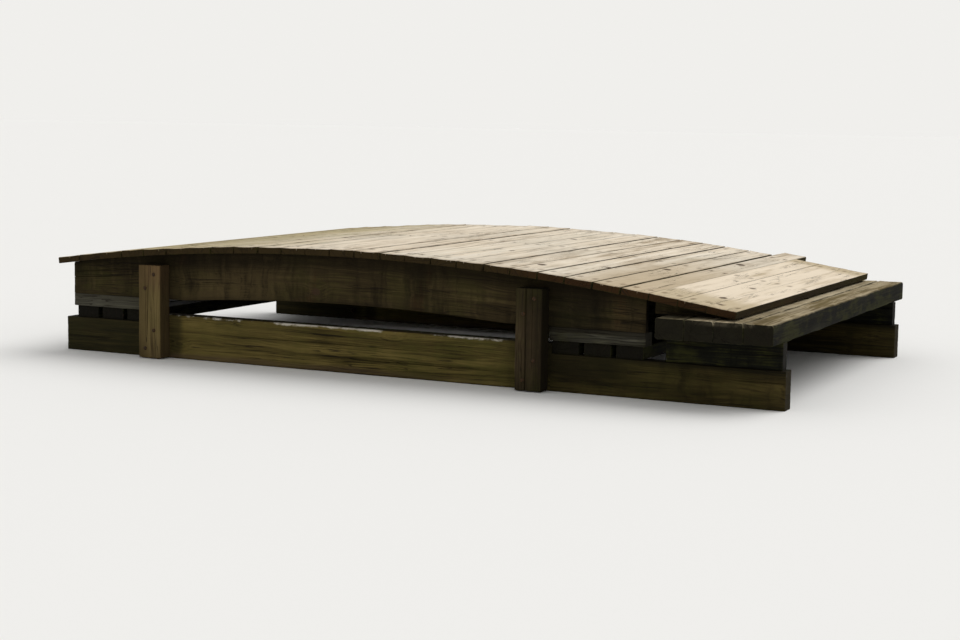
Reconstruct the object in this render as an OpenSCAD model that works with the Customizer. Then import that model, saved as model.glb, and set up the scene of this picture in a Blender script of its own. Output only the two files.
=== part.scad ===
// Small bowed timber footbridge: cross planks on arched stringers, which stand on two straight lower beams.
// X runs along the span, Y across the deck, Z up. The lower beams' undersides lie on z = 0.

/* [Deck] */
// Width of one deck plank, measured along the span
plank_w = 140; // [90:1:190]
// Thickness of the deck planks
plank_t = 38; // [25:1:60]
// Length of the deck planks, across the bridge
plank_l = 2440; // [1200:10:3600]
// Gap between neighbouring planks
plank_gap = 4; // [2:0.5:15]
// How far the sawn plank ends wander from a straight edge
end_wander = 7; // [0:1:15]
// Extra length of the one plank that was left long on the far side
long_plank_extra = 230; // [60:10:400]
// Number of planks on the landing past the bowed part
landing_planks = 3; // [1:1:5]
// Width of a plank on the landing, where the planks lie tight
landing_plank_w = 143; // [90:1:190]
// Gap between the tight planks on the landing
landing_gap = 1; // [0.5:0.5:8]

/* [Bowed stringers] */
// Length of the stringers, end to end
stringer_l = 3370; // [2600:10:4200]
// Depth of a stringer at the middle of the span
stringer_d = 252; // [180:1:280]
// Depth left at a stringer's end, over its level seat
stringer_end_d = 172; // [120:1:200]
// Thickness of a stringer
stringer_t = 38; // [30:1:80]
// Rise of the bow, from the ends to the crown
bow_rise = 118; // [90:1:220]
// Length of a level seat, from a stringer's end to the post
seat_l = 500; // [300:10:800]
// How far the first plank reaches past the stringers' ends
deck_overhang = 30; // [10:1:80]

/* [Lower beams] */
// Depth of the lower beams
beam_d = 235; // [180:1:300]
// Thickness of the lower beams
beam_t = 89; // [60:1:140]
// How far the lower beams reach past the first plank
beam_lead = 20; // [10:1:100]
// How far the lower beams reach past the sleepers
beam_tail = 20; // [10:1:300]
// Depth of the rebate sawn into the top of each beam end
rebate_d = 50; // [30:1:64]

/* [Posts] */
// Width of a side post, along the span
post_w = 140; // [90:1:180]
// Thickness of a side post
post_t = 89; // [38:1:120]
// Height of the post feet over the beams' undersides
post_lift = 5; // [2:1:40]
// Gap between a post's top and the deck
post_headroom = 44; // [5:1:60]
// How far the plank ends reach past the posts' outer faces
post_reveal = 11; // [8:1:60]

/* [End bearings] */
// Thickness of the packers under the stringers' level seats
packer_t = 68; // [40:1:90]
// Thickness of the sole planks that lie in the rebates
sole_t = 64; // [40:1:90]
// Width of the sole planks
sole_w = 140; // [100:1:160]
// How far the sole planks stay behind the beams' outer faces
sole_recess = 14; // [0:1:40]

/* [Landing] */
// Width of a landing sleeper, along the span
sleeper_w = 140; // [90:1:190]
// Gap between neighbouring sleepers
sleeper_gap = 2; // [1:0.5:10]
// Height of the landing sleepers
sleeper_h = 100; // [70:1:130]
// How far the sleepers reach past the plank ends
sleeper_proud = 55; // [20:1:150]
// How far the sleepers reach past the last plank, along the span
sleeper_lead = 196; // [0:2:300]
// Least thickness of the wedge strips between sleepers and planks
wedge_tip = 8; // [4:1:30]
// Thickness of the blocks between the lower beams and the sleepers
crib_t = 66; // [40:1:80]

/* [Edges] */
// Chamfer along the worn edges of the timbers
ease = 3; // [1:0.5:6]

/* [Hidden] */
pitch = plank_w + plank_gap;
// Gap that keeps a flat plank clear of the curve that it touches
curve_gap = 0.2;

// Heights of what lies on the lower beams, from the rebates up to the crown of the stringers
rebate_z = beam_d - rebate_d;
sole_z = rebate_z + sole_t;
seat_z = sole_z + packer_t;
crown_z = seat_z + stringer_end_d + bow_rise;

// The bow is an arc through the stringers' top corners and the crown, with its centre far below
half_span = stringer_l / 2;
bow_r = (pow(half_span, 2) + pow(bow_rise, 2)) / (2 * bow_rise);
bow_z = crown_z - bow_r;

// Planks step along the bow by equal angles, positive towards the landing, until the stringers are covered
first_a = -asin((half_span + deck_overhang) / bow_r);
plank_a = 2 * atan(pitch / 2 / bow_r);
bow_planks = ceil((asin(half_span / bow_r) - first_a) / plank_a);
plank_count = bow_planks + landing_planks;

// The landing goes on straight, at the slope of the bow where the last plank on it ends
landing_a = first_a + bow_planks * plank_a;
landing_pitch = landing_plank_w + landing_gap;
landing_run = landing_planks * landing_pitch * cos(landing_a);
landing_drop = landing_planks * landing_pitch * sin(landing_a);

// Places along the span, with the lower beams centred on x = 0
crown_to_landing = bow_r * sin(landing_a);
crown_to_sleepers_end = crown_to_landing + landing_run + sleeper_lead;
beam_l = beam_lead + deck_overhang + half_span + crown_to_sleepers_end + beam_tail;
beam_x0 = -beam_l / 2;
stringer_x0 = beam_x0 + beam_lead + deck_overhang;
crown_x = stringer_x0 + half_span;
stringer_x1 = crown_x + half_span;
landing_x0 = crown_x + crown_to_landing;
landing_x1 = landing_x0 + landing_run;
landing_z0 = bow_z + bow_r * cos(landing_a);
landing_z1 = landing_z0 - landing_drop;
seat_x0s = [stringer_x0, stringer_x1 - seat_l];
post_xs = [stringer_x0 + seat_l + post_w / 2, stringer_x1 - seat_l - post_w / 2];

// Sleepers lie side by side from their own far end, and stop short of the stringers
sleeper_pitch = sleeper_w + sleeper_gap;
sleeper_count = max(1, floor((landing_run + sleeper_lead) / sleeper_pitch));
sleeper_x1 = landing_x1 + sleeper_lead;
sleeper_top = landing_z1 - wedge_tip;
sleeper_z = sleeper_top - sleeper_h;

// Places across the bridge, measured from its middle line: 0 is the near side and 1 the far side
face_y = plank_l / 2 - post_reveal - post_t;
out = [-1, 1];
stringer_ys = [-face_y + stringer_t / 2, 0, face_y - stringer_t / 2];
packer_ys = [-face_y + beam_t / 2, 0, face_y - beam_t / 2];
// The middle line lies a little off y = 0, because the long plank widens the outline on the far side
axis_y = (sleeper_proud - long_plank_extra) / 2;

sides = ["near", "far"];
ends = ["left", "right"];
rows = ["near", "middle", "far"];

function two_digits(i) = str(i < 10 ? "0" : "", i);
function bow_height(x) = bow_z + sqrt(pow(bow_r, 2) - pow(x - crown_x, 2));
function wander(i, side) = end_wander * sin(i * 137 + side * 71) * cos(i * 59);

// Cross-section of a timber with chamfered edges, centred on its middle
module timber_section(w, t) {
    u = w / 2;
    v = t / 2;
    polygon([
        [ease - u, -v], [u - ease, -v], [u, ease - v], [u, v - ease],
        [u - ease, v], [ease - u, v], [-u, v - ease], [-u, ease - v]
    ]);
}

// Carries a section drawn in X and Z from y0 to y1
module across(y0, y1) {
    translate([0, y1, 0]) rotate([90, 0, 0]) linear_extrude(y1 - y0) children();
}

// Carries a section drawn in Y and Z from x0 to x1
module along(x0, x1) {
    translate([x0, 0, 0]) rotate([90, 0, 90]) linear_extrude(x1 - x0) children();
}

// Moves its children to a line beside the bridge's middle line
module beside(y) {
    translate([0, axis_y + y, 0]) children();
}

// Plank number i, laid square on the bow or on the landing, with its ends sawn a little off the straight
module deck_plank(i) {
    a = i <= bow_planks ? first_a + (i - 0.5) * plank_a : landing_a;
    run = i <= bow_planks ? 0 : (i - bow_planks - 0.5) * landing_pitch;
    width = i <= bow_planks ? plank_w : landing_plank_w;
    far_end = plank_l / 2 + (i == bow_planks ? long_plank_extra : wander(i, 1));
    color("#b3a893")
        translate([crown_x, axis_y, bow_z])
            rotate([0, a, 0])
                translate([run, 0, bow_r + curve_gap + plank_t / 2])
                    across(-plank_l / 2 + wander(i, 0), far_end)
                        timber_section(width, plank_t);
}

// Bowed plank on edge: a slice of a wide ring, with plumb ends and level seats
module stringer(r) {
    color("#5a4c36") beside(stringer_ys[r]) intersection() {
        translate([crown_x, 0, bow_z]) rotate([90, 0, 0])
            rotate_extrude($fn = 360) translate([bow_r - stringer_d / 2, 0])
                timber_section(stringer_d, stringer_t);
        translate([stringer_x0, -stringer_t, seat_z])
            cube([stringer_l, 2 * stringer_t, stringer_end_d + bow_rise + 1]);
    }
}

// Straight beam with a rebate in the top of each end, sawn up to the post
module lower_beam(s) {
    shoulders = [seat_x0s[0] + seat_l - beam_x0, beam_l / 2 - seat_x0s[1]];
    color("#6b6136") beside(packer_ys[2 * s]) difference() {
        translate([0, 0, beam_d / 2]) along(beam_x0, -beam_x0) timber_section(beam_t, beam_d);
        translate([beam_x0 - 1, -beam_t, rebate_z]) cube([shoulders[0] + 1, 2 * beam_t, beam_d]);
        translate([-beam_x0 - shoulders[1], -beam_t, rebate_z]) cube([shoulders[1] + 1, 2 * beam_t, beam_d]);
    }
}

// Upright on the outer faces of a stringer and its lower beam, ending just under the planks
module post(s, e) {
    outer_corner = post_xs[e] + out[e] * post_w / 2;
    top = bow_height(outer_corner) - post_headroom;
    color(e == 0 ? "#8a6a48" : "#6e6750") beside(out[s] * (face_y + post_t / 2))
        translate([post_xs[e], 0, post_lift])
            linear_extrude(top - post_lift) timber_section(post_w, post_t);
}

// Short thick planks across both lower beams, spread evenly along the rebate under a seat
module sole_planks(e) {
    count = floor(seat_l / sole_w);
    step = seat_l / count;
    half = face_y - sole_recess;
    color("#3f4230") beside(0) for (k = [0 : count - 1])
        translate([seat_x0s[e] + (k + 0.5) * step, 0, rebate_z + sole_t / 2])
            across(-half, half) timber_section(sole_w, sole_t);
}

// Strips that carry the level seats of all the stringers
module packers(e) {
    color("#9a917c") for (y = packer_ys) beside(y)
        translate([0, 0, sole_z + packer_t / 2])
            along(seat_x0s[e], seat_x0s[e] + seat_l) timber_section(beam_t, packer_t);
}

// Block on the rebate of a lower beam, which carries the landing sleepers
module crib_block(s) {
    h = sleeper_z - rebate_z;
    color("#4a4334") beside(packer_ys[2 * s])
        translate([0, 0, rebate_z + h / 2])
            along(sleeper_x1 - sleeper_count * sleeper_pitch, sleeper_x1) timber_section(crib_t, h);
}

// Level timbers across the end of the bridge
module landing_sleepers() {
    half = plank_l / 2 + sleeper_proud;
    color("#6c6a4f") beside(0) for (k = [0 : sleeper_count - 1])
        translate([sleeper_x1 - k * sleeper_pitch - sleeper_w / 2, 0, sleeper_z + sleeper_h / 2])
            across(-half, half) timber_section(sleeper_w, sleeper_h);
}

// Tapered strips in line with the stringers, which bring the sleepers up to the sloping planks
module landing_wedges() {
    color("#57503c") for (y = stringer_ys) beside(y)
        across(-stringer_t / 2, stringer_t / 2)
            polygon([
                [landing_x0, sleeper_top], [landing_x1, sleeper_top],
                [landing_x1, landing_z1], [landing_x0, landing_z0]
            ]);
}

for (i = [1 : plank_count]) deck_plank(i);
for (r = [0 : 2]) stringer(r);
for (s = [0, 1]) lower_beam(s);
for (s = [0, 1]) for (e = [0, 1])
    post(s, e);
for (e = [0, 1]) sole_planks(e);
for (e = [0, 1]) packers(e);
for (s = [0, 1]) crib_block(s);
landing_sleepers();
landing_wedges();
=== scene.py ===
"""Dresses the timber footbridge: worn boards in place of the plain solids, nails, bolts and old wood."""

import bpy
import numpy as np
from bpy.props import FloatProperty, FloatVectorProperty, IntProperty, PointerProperty
from bpy.types import Operator, Panel, PropertyGroup
from mathutils import Matrix, Vector


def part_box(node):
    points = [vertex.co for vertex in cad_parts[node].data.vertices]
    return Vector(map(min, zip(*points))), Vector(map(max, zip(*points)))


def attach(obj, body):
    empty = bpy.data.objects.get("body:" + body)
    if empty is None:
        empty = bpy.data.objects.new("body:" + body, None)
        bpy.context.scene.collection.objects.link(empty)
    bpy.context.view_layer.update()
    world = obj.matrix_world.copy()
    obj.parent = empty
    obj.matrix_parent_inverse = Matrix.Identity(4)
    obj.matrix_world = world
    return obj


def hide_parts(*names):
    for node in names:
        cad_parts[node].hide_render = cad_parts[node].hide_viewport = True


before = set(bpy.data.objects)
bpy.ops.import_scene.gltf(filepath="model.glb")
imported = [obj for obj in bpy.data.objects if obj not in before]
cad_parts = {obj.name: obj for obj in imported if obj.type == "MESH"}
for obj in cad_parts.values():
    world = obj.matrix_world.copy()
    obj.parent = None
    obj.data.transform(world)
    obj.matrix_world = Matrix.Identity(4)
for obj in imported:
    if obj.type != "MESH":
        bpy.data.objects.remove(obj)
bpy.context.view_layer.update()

bl_info = {
    "name": "Wooden Footbridge",
    "version": (1, 0, 0),
    "blender": (4, 5, 0),
    "location": "3D View > Sidebar > Footbridge",
    "description": "Lays worn planks, stringers, beams and posts on the footbridge's frame and lights them",
    "category": "Add Mesh",
}

SIDES = ("near", "far")
ENDS = ("left", "right")
ROWS = ("near", "middle", "far")
OUTWARDS = {"near": -1.0, "middle": -1.0, "far": 1.0}
PLANKS = sorted(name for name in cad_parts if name.startswith("deck_plank_"))
# Groups of pieces with random draws, whose seeds lie a hundred apart in this order
DRAWN = ("deck", "stringers", "beams", "posts", "bearings", "landing", "nails")


def screen(red, green, blue):
    """Colour as it shows on a screen, 0 to 255, turned into the linear light that materials take."""
    share = np.array([red, green, blue]) / 255
    return tuple(np.where(share <= 0.04045, share / 12.92, ((share + 0.055) / 1.055) ** 2.4))


def number(name, description, default, **details):
    """Property for a plain number, such as a share or an angle in degrees."""
    return FloatProperty(name=name, description=description, default=default, **details)


def length(name, description, default):
    """Property for a size in metres."""
    return number(name, description, default, subtype="DISTANCE", unit="LENGTH", precision=4, min=0.0)


def colour(name, description, red, green, blue):
    """Property for a colour that is given as it shows on a screen."""
    return FloatVectorProperty(
        name=name, description=description, default=screen(red, green, blue), subtype="COLOR", size=3,
        min=0.0, max=1.0)


def grain_tones(timber, words, pale, mid, dark):
    """Properties for a timber's three tones."""
    return {
        f"{timber}_pale": colour(f"{words}, pale", f"Bleached fibres of the {words.lower()}", *pale),
        f"{timber}_mid": colour(f"{words}, middle", f"Main tone of the {words.lower()}", *mid),
        f"{timber}_dark": colour(f"{words}, dark", f"Damp or dirty grain of the {words.lower()}", *dark),
    }


class BoardWear(PropertyGroup):
    """How far years of weather have moved the boards away from straight sawn timber."""

    plank_width: length("Plank width", "Width of a deck plank", 0.140)
    landing_width: length("Landing plank width", "Width of a plank on the landing", 0.143)
    plank_thickness: length("Plank thickness", "Thickness of a deck plank", 0.038)
    thinning: length("Thinning", "Most that a plank's worn top lies below a new one's", 0.0045)
    narrowing: length("Narrowing", "Most that a plank has shrunk across its width", 0.0035)
    cup: length("Cupping", "Depth of the hollow along a plank's middle", 0.0022)
    skew: number("Skew", "Slope of the saw cuts at the board ends", 0.022)
    plank_arris: length("Plank edge", "Radius worn onto the long edges of the planks", 0.0045)
    tight_arris: length("Tight edge", "Radius on the edges of the tight planks of the landing", 0.0016)
    timber_arris: length("Timber edge", "Radius worn onto the long edges of the other timbers", 0.0050)
    end_easing: length("End easing", "How far the arrises of a sawn end are rounded", 0.0022)
    ripple: length("Ripple", "Height of the waves in a worn face", 0.0009)
    split: length("Split width", "Width of an open split at a board's end", 0.0050)
    station: length("Step", "Distance between the rings of points along a board", 0.024)
    seed: IntProperty(name="Seed", description="Start of the random draws for wear and grain", default=41, min=0)


class WoodColours(PropertyGroup):
    """Tones of each timber's grain, and of the stains and films on it."""

    deck_dull: colour("Deck, dull", "Worn tone of the planks next to the landing", 186, 168, 139)
    deck_end: colour("Deck, ends", "Damp sawn ends and sides of the planks", 55, 44, 24)
    deck_brown: colour("Deck, brown ends", "Rusty brown ends of the planks next to the landing", 58, 36, 17)
    deck_moss: colour("Deck, mossy end", "Green film that dulls the deck's left end", 201, 197, 172)
    # The silver tone also paints the sunlit highlight along the beams' top edges.
    silver_and_highlight: colour("Deck, silver", "Grey weathered patches on the planks", 200, 194, 180)
    landing_pale: colour("Landing, pale", "Smooth bleached planks of the landing", 229, 214, 191)
    landing_tan: colour("Landing, tan", "Yellowish tone near the landing's ends", 183, 166, 133)
    beam_edge: colour("Beam, lower edge", "Dusty lower edge of the lower beams", 92, 76, 58)
    # The beams' damp tone also paints the shade in the strip beside the left posts.
    beam_damp_and_shade: colour("Beam, damp end", "Damp green tone of the lower beams' left ends", 27, 27, 18)
    brown_top: colour("Left posts, top", "Reddish top of the left posts", 100, 75, 55)
    # The crust tone also paints sunlight on the sleepers' tops and along their near rims.
    sleeper_crust_and_sunlight: colour("Sleepers, crust", "Dry pale crust on the sleepers' tops", 194, 180, 150)
    sleeper_worn: colour("Sleepers, worn", "Middle tone of the sleepers' tops", 164, 149, 119)
    algae: colour("Algae", "Green film on damp wood", 66, 66, 28)
    red_stain: colour("Red stain", "Tannin runs", 62, 37, 24)
    rust: colour("Rust", "Rust on nails and bolts", 76, 50, 26)
    iron: colour("Iron", "Dark iron under the rust", 40, 36, 28)


for tones in (
        ("deck", "Deck planks", (243, 233, 216), (222, 208, 186), (148, 129, 102)),
        ("stringer", "Stringers", (88, 75, 49), (55, 46, 29), (26, 21, 13)),
        ("beam", "Lower beams", (110, 96, 53), (74, 64, 33), (36, 31, 17)),
        ("brown", "Left posts", (136, 118, 80), (105, 91, 58), (58, 46, 29)),
        ("grey", "Right posts", (96, 82, 62), (59, 49, 34), (25, 21, 13)),
        ("packer", "Packers", (98, 95, 83), (58, 56, 48), (24, 20, 13)),
        # The sole tones are near-black: painted deep shade under the stringers' ends
        ("sole", "Sole planks", (25, 25, 18), (14, 14, 10), (7, 7, 5)),
        ("sleeper", "Sleepers", (50, 48, 37), (26, 25, 18), (13, 12, 9))):
    WoodColours.__annotations__.update(grain_tones(*tones))


class FixingSizes(PropertyGroup):
    """Sizes of the nails and bolts that hold the timbers together."""

    nail_head: length("Nail head", "Diameter of a deck nail's head", 0.0105)
    nail_rise: length("Nail rise", "How far a nail's head is domed", 0.0012)
    nail_edge: length("Nail edge", "Distance of the nails from a plank's edge", 0.032)
    bolt_head: length("Bolt head", "Diameter of a coach bolt's domed head", 0.021)
    bolt_rise: length("Bolt rise", "Height of a coach bolt's domed head", 0.0055)
    washer: length("Washer", "Diameter of the washers under the nuts", 0.036)
    washer_thickness: length("Washer thickness", "Thickness of the washers", 0.003)
    nut: length("Nut", "Width of a nut over its corners", 0.025)
    nut_height: length("Nut height", "Height of a nut", 0.012)
    bolt_inset: length("Bolt inset", "Distance of the bolts from a post's edges", 0.042)


class StudioSettings(PropertyGroup):
    """Floor, light and camera."""

    floor_size: length("Floor size", "Half the width of the floor", 150.0)
    floor_tone: colour("Floor", "Pale tone of the floor and of the background", 236, 235, 232)
    sky: number("Fill light", "Strength of the even light from all round", 0.62)
    key: number("Key light", "Share of the light on the deck from the key", 0.42)
    key_softness: number("Key softness", "Angle that the key light covers, in degrees", 50.0)
    camera_place: FloatVectorProperty(
        name="Camera place", description="On the photograph's line of sight, from nearer", size=3,
        subtype="TRANSLATION", unit="LENGTH", default=(4.360, -9.188, 1.336))
    camera_heading: number("Heading", "Turn of the view to the left of straight across, in degrees", 25.847)
    camera_pitch: number("Pitch", "Tilt of the view, in degrees", -6.508)
    camera_roll: number("Roll", "Turn of the picture, in degrees", 0.890)
    lens: number("Lens", "Focal length for a 36 mm sensor", 67.75, unit="CAMERA")


def node_points(node):
    """Corner points of a node's solid, one row each."""
    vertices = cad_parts[node].data.vertices
    points = np.empty(len(vertices) * 3)
    vertices.foreach_get("co", points)
    return points.reshape(-1, 3)


def box(node):
    """Lowest and highest corner of a node, one row each."""
    return np.array([list(corner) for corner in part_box(node)])


def solids(node, axis):
    """Boxes of a node's separate solids, in order along an axis: the next one starts where a triangle lies past
    all those before it."""
    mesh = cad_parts[node].data
    corners = np.empty(len(mesh.loops), np.int64)
    mesh.loops.foreach_get("vertex_index", corners)
    triangles = node_points(node).round(5)[corners].reshape(-1, 3, 3)
    triangles = triangles[np.argsort(triangles[:, :, axis].min(1))]
    reach = np.maximum.accumulate(triangles[:, :, axis].max(1))
    starts = np.flatnonzero(triangles[1:, :, axis].min(1) > reach[:-1]) + 1
    return [(solid.min((0, 1)), solid.max((0, 1))) for solid in np.split(triangles, starts)]


class Bow:
    """Arc of the stringers' top edge, through their top corners and the crown."""

    def __init__(self):
        points = node_points("stringer_near")
        (self.x0, _, self.seat_z), (self.x1, _, self.crown_z) = points.min(0), points.max(0)
        self.crown_x = (self.x0 + self.x1) / 2
        rise = self.crown_z - points[points[:, 0] < self.x0 + 0.001, 2].max()
        self.radius = (((self.x1 - self.x0) / 2) ** 2 + rise ** 2) / (2 * rise)
        self.depth = self.crown_z - points[np.abs(points[:, 0] - self.crown_x) < 0.12, 2].min()

    def arc(self, x, radius):
        """Height of a circle round the bow's centre: the centre's, plus the upright leg under the point."""
        return self.crown_z - self.radius + np.sqrt(radius ** 2 - (x - self.crown_x) ** 2)

    def top(self, x):
        """Height of the stringers' top edge."""
        return self.arc(x, self.radius)

    def underside(self, x):
        """Height of their lower edge: an arc with the same centre, cut off level at the seats."""
        return np.maximum(self.arc(x, self.radius - self.depth), self.seat_z)


bow = Bow()
STRINGER_LINES = [np.mean(box(f"stringer_{row}"), 0)[1] for row in ROWS]


def worn():
    """The settings for wear."""
    return bpy.context.scene.footbridge_wear


def draws(group, index=0):
    """Random draws for one piece of a group."""
    return np.random.default_rng(worn().seed + 100 * DRAWN.index(group) + index)


def waves(rng, shortest, longest, count=5):
    """Smooth random curve between about -1 and 1: the sum of sine waves with random lengths and starts."""
    lengths = np.geomspace(shortest, longest, count) * rng.uniform(0.8, 1.25, count)
    starts = rng.uniform(0, 2 * np.pi, count)
    weights = np.sqrt(lengths / lengths.sum())

    def curve(x):
        turns = 2 * np.pi * np.asarray(x)[..., None] / lengths + starts
        return (weights * np.sin(turns)).sum(-1) / weights.sum() * 1.6

    return curve


def steps(start, end, share=1.0):
    """Evenly spread stations from start to end, about a share of the usual step apart."""
    return np.linspace(start, end, max(4, int(np.ceil((end - start) / (worn().station * share))) + 1))


class Split:
    """Open split along the grain: at a share across the face, deepest in the middle of its reach."""

    deepest = 0.022

    def __init__(self, share, width, depth, start, end):
        self.share, self.width, self.depth, self.start, self.end = share, width, depth, start, end

    def opening(self, s):
        """Share of the full opening at each station: half an ellipse over the split's reach."""
        middle, half = (self.start + self.end) / 2, (self.end - self.start) / 2
        return np.sqrt(np.clip(1 - ((s - middle) / half) ** 2, 0, 1))


def end_splits(rng, s0, s1, count, longest=0.26):
    """Splits that run in from the ends of a board, each centred on the end so that it is widest there."""
    found = []
    for _ in range(count):
        reach = rng.uniform(0.25, 1) * longest
        at = s0 if rng.random() < 0.5 else s1
        depth = rng.uniform(0.25, 0.8) * Split.deepest
        share, width = rng.uniform(0.16, 0.84), worn().split * rng.uniform(0.4, 1)
        found.append(Split(share, width, depth, at - reach, at + reach))
    return found


def ring_quads(rings, points):
    """Quads between neighbouring closed rings of points, and the number of every point."""
    index = np.arange(rings * points).reshape(rings, points)
    beside = np.roll(index, -1, 1)
    return np.stack([index[:-1], beside[:-1], beside[1:], index[1:]], -1).reshape(-1, 4), index


class Board:
    """One worn timber, made by carrying a rounded rectangle along its length.

    The section has two broad faces, each a row of points from the low edge to the high edge. Along the
    length the edges may curve (low and high are heights across the board at each station s), the faces
    ripple, the arrises are worn unevenly, splits open, and the sawn ends are eased and a little askew.
    Fine is the number of points across a face between its arrises."""

    arris_steps = 3
    easing_steps = np.array([0.0, 0.3, 1.0])
    uneven_arris = 0.55
    back_split = 0.55
    ragged_end = 0.0012

    def __init__(self, rng, s, low, high, thickness, arris, splits=(), cup=0.0, ripple=None, easing=1.0,
                 skew=0.0, fine=9):
        # Rings, closer together where the sawn ends are eased
        easing *= worn().end_easing
        ripple = ripple or worn().ripple
        rounding = self.easing_steps * easing
        inside = s[(s > s[0] + 1.5 * easing) & (s < s[-1] - 1.5 * easing)]
        rows = np.concatenate([s[0] + rounding, inside, s[-1] - rounding[::-1]])
        inset = np.concatenate([rounding[::-1], inside * 0, rounding])[:, None]
        low = np.interp(rows, s, np.broadcast_to(low, s.shape))[:, None]
        high = np.interp(rows, s, np.broadcast_to(high, s.shape))[:, None]
        arris = min(arris, 0.3 * float((high - low).min()), 0.3 * thickness)

        # Section of one face: a quarter circle at each arris, and between them a flat row with a groove per split
        shares = [np.linspace(0, 1, fine + 2)[1:-1]]
        face_width = float((high - low).mean())
        for split in splits:
            shares.append(split.share + np.array([-0.5, 0.0, 0.5]) * split.width / face_width)
        flat = np.unique(np.concatenate(shares).round(6))
        turn = np.linspace(0, np.pi / 2, self.arris_steps + 1)
        lead = arris * (1 - np.cos(turn))
        drop = arris * (1 - np.sin(turn))
        share = np.concatenate([turn * 0, flat, turn * 0 + 1])
        offset = np.concatenate([lead, arris * (1 - 2 * flat), -lead[::-1]])
        fall = np.concatenate([drop, flat * 0, drop[::-1]])
        on_arris = np.repeat([True, False, True], [len(turn), len(flat), len(turn)])
        hump = np.clip(np.sin(np.pi * share), 0, 1)

        def face(sign):
            """Across and thickness places of one broad face at every ring: the flat face, lowered by the worn
            arrises, the ripples, the cup and the splits."""
            wear_low = 1 + self.uneven_arris * waves(rng, 0.05, 0.5)(rows)
            wear_high = 1 + self.uneven_arris * waves(rng, 0.05, 0.5)(rows)
            uneven = np.where(share < 0.5, wear_low[:, None], wear_high[:, None])
            uneven = np.where(on_arris, np.clip(uneven, 0.35, 1.7), 1.0)
            across = low + share * (high - low) + offset * uneven
            wavy = waves(rng, 0.12, 1.1)(rows)[:, None] + 0.6 * waves(rng, 0.07, 0.3)(rows[:, None] + 3 * across)
            depth = fall * uneven + ripple * (0.8 - 0.5 * wavy) * hump ** 0.5
            depth = depth + (cup * hump ** 1.4 if sign > 0 else 0.0)
            for split in splits:
                hit = np.abs(share - round(split.share, 6)) < 1e-9
                deep = split.depth * (1.0 if sign > 0 else self.back_split)
                depth = depth + np.where(hit, 1.0, 0.0) * (deep * split.opening(rows))[:, None]
            return across, sign * (thickness / 2 - depth)

        front, back = face(1), face(-1)
        across, thick = (np.concatenate([f, b[:, ::-1]], 1) for f, b in zip(front, back))

        # Sawn ends: a little smaller at the outermost rings, askew and ragged
        centre = (low + high) / 2
        across = centre + (across - centre) * (1 - inset / ((high - low) / 2))
        thick = thick * (1 - inset / (thickness / 2))
        from_middle = rows[:, None] - (rows[-1] + rows[0]) / 2
        half_length = (rows[-1] - rows[0]) / 2
        outwards = np.sign(from_middle)
        nearness = np.clip(np.abs(from_middle) / half_length * 4 - 3, 0, 1)
        ragged = waves(rng, 0.012, 0.09)(across) * self.ragged_end + skew * (across - centre)
        along = rows[:, None] + nearness * np.minimum(ragged * outwards, 0.0) * outwards

        self.local = np.stack([along, across, thick], -1)
        self.place = np.stack([along - (rows[-1] + rows[0]) / 2, across - centre, thick], -1)
        self.edge = np.clip(np.minimum(across - low, high - across), 0, None)
        self.from_end = np.broadcast_to(half_length - np.abs(from_middle), across.shape)

    def points(self, origin, axes):
        """Places of all points: the origin plus the three local measures times the board's three axes."""
        return np.asarray(origin) + self.local.reshape(-1, 3) @ np.asarray(axes)

    def faces(self):
        """Quads between neighbouring rings and across both ends, and which of them are ends or narrow sides."""
        rows, ring = self.edge.shape
        columns = ring // 2
        walls, index = ring_quads(rows, ring)
        front = np.arange(columns - 1)
        back = ring - 1 - front
        first = np.stack([front + 1, front, back, back - 1], -1)
        last = np.stack([front, front + 1, back - 1, back], -1) + index[-1, 0]
        narrow = np.zeros((rows - 1, ring), bool)
        narrow[:, [columns - 1, ring - 1]] = True
        is_end = np.repeat([False, True], [len(walls), 2 * len(front)])
        is_flat = np.concatenate([narrow.ravel(), is_end[len(walls):]])
        return np.concatenate([walls, first, last]), is_end, is_flat


def put(name, data):
    """New object in the scene."""
    thing = bpy.data.objects.new(name, data)
    bpy.context.scene.collection.objects.link(thing)
    return thing


def mesh_piece(name, finish, points, quads):
    """Object from arrays of points and quads, riding on the bridge."""
    mesh = bpy.data.meshes.new(name)
    mesh.vertices.add(len(points))
    mesh.vertices.foreach_set("co", np.asarray(points, np.float32).ravel())
    mesh.loops.add(quads.size)
    mesh.loops.foreach_set("vertex_index", quads.astype(np.int32).ravel())
    mesh.polygons.add(len(quads))
    mesh.polygons.foreach_set("loop_start", np.arange(0, quads.size, 4, dtype=np.int32))
    mesh.update(calc_edges=True)
    mesh.validate()
    mesh.materials.append(material(finish))
    piece = put(name, mesh)
    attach(piece, "root")
    return piece


def make_piece(name, slot, boards, *nodes):
    """One object of several placed boards, each given as (board, origin, axes, tone). Its points carry their
    places in the board, their distances from its edges and ends and its tone, and its ends are marked."""
    start, parts = 0, []
    for board, origin, axes, tone in boards:
        placed = board.points(origin, axes)
        quads, is_end, is_flat = board.faces()
        if np.linalg.det(axes) > 0:
            quads = quads[:, ::-1]
        parts.append((
            placed, quads + start, is_end, is_flat, board.place.reshape(-1, 3), board.edge.ravel(),
            board.from_end.ravel(), np.full(len(placed), tone)))
        start += len(placed)
    points, quads, is_end, is_flat, places, edges, tips, tones = map(np.concatenate, zip(*parts))
    piece = mesh_piece(name, slot, points, quads)
    mesh = piece.data
    mesh.polygons.foreach_set("use_smooth", ~is_flat)
    for label, domain, values in (
            ("place", "POINT", places), ("edge", "POINT", edges), ("from_end", "POINT", tips),
            ("tone", "POINT", tones), ("end_grain", "CORNER", np.repeat(is_end, 4))):
        kind, field = ("FLOAT_VECTOR", "vector") if values.ndim == 2 else ("FLOAT", "value")
        attribute = mesh.attributes.new(label, kind, domain)
        attribute.data.foreach_set(field, values.astype(np.float32).ravel())
    mesh.update()
    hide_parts(*nodes)
    return piece


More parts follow.
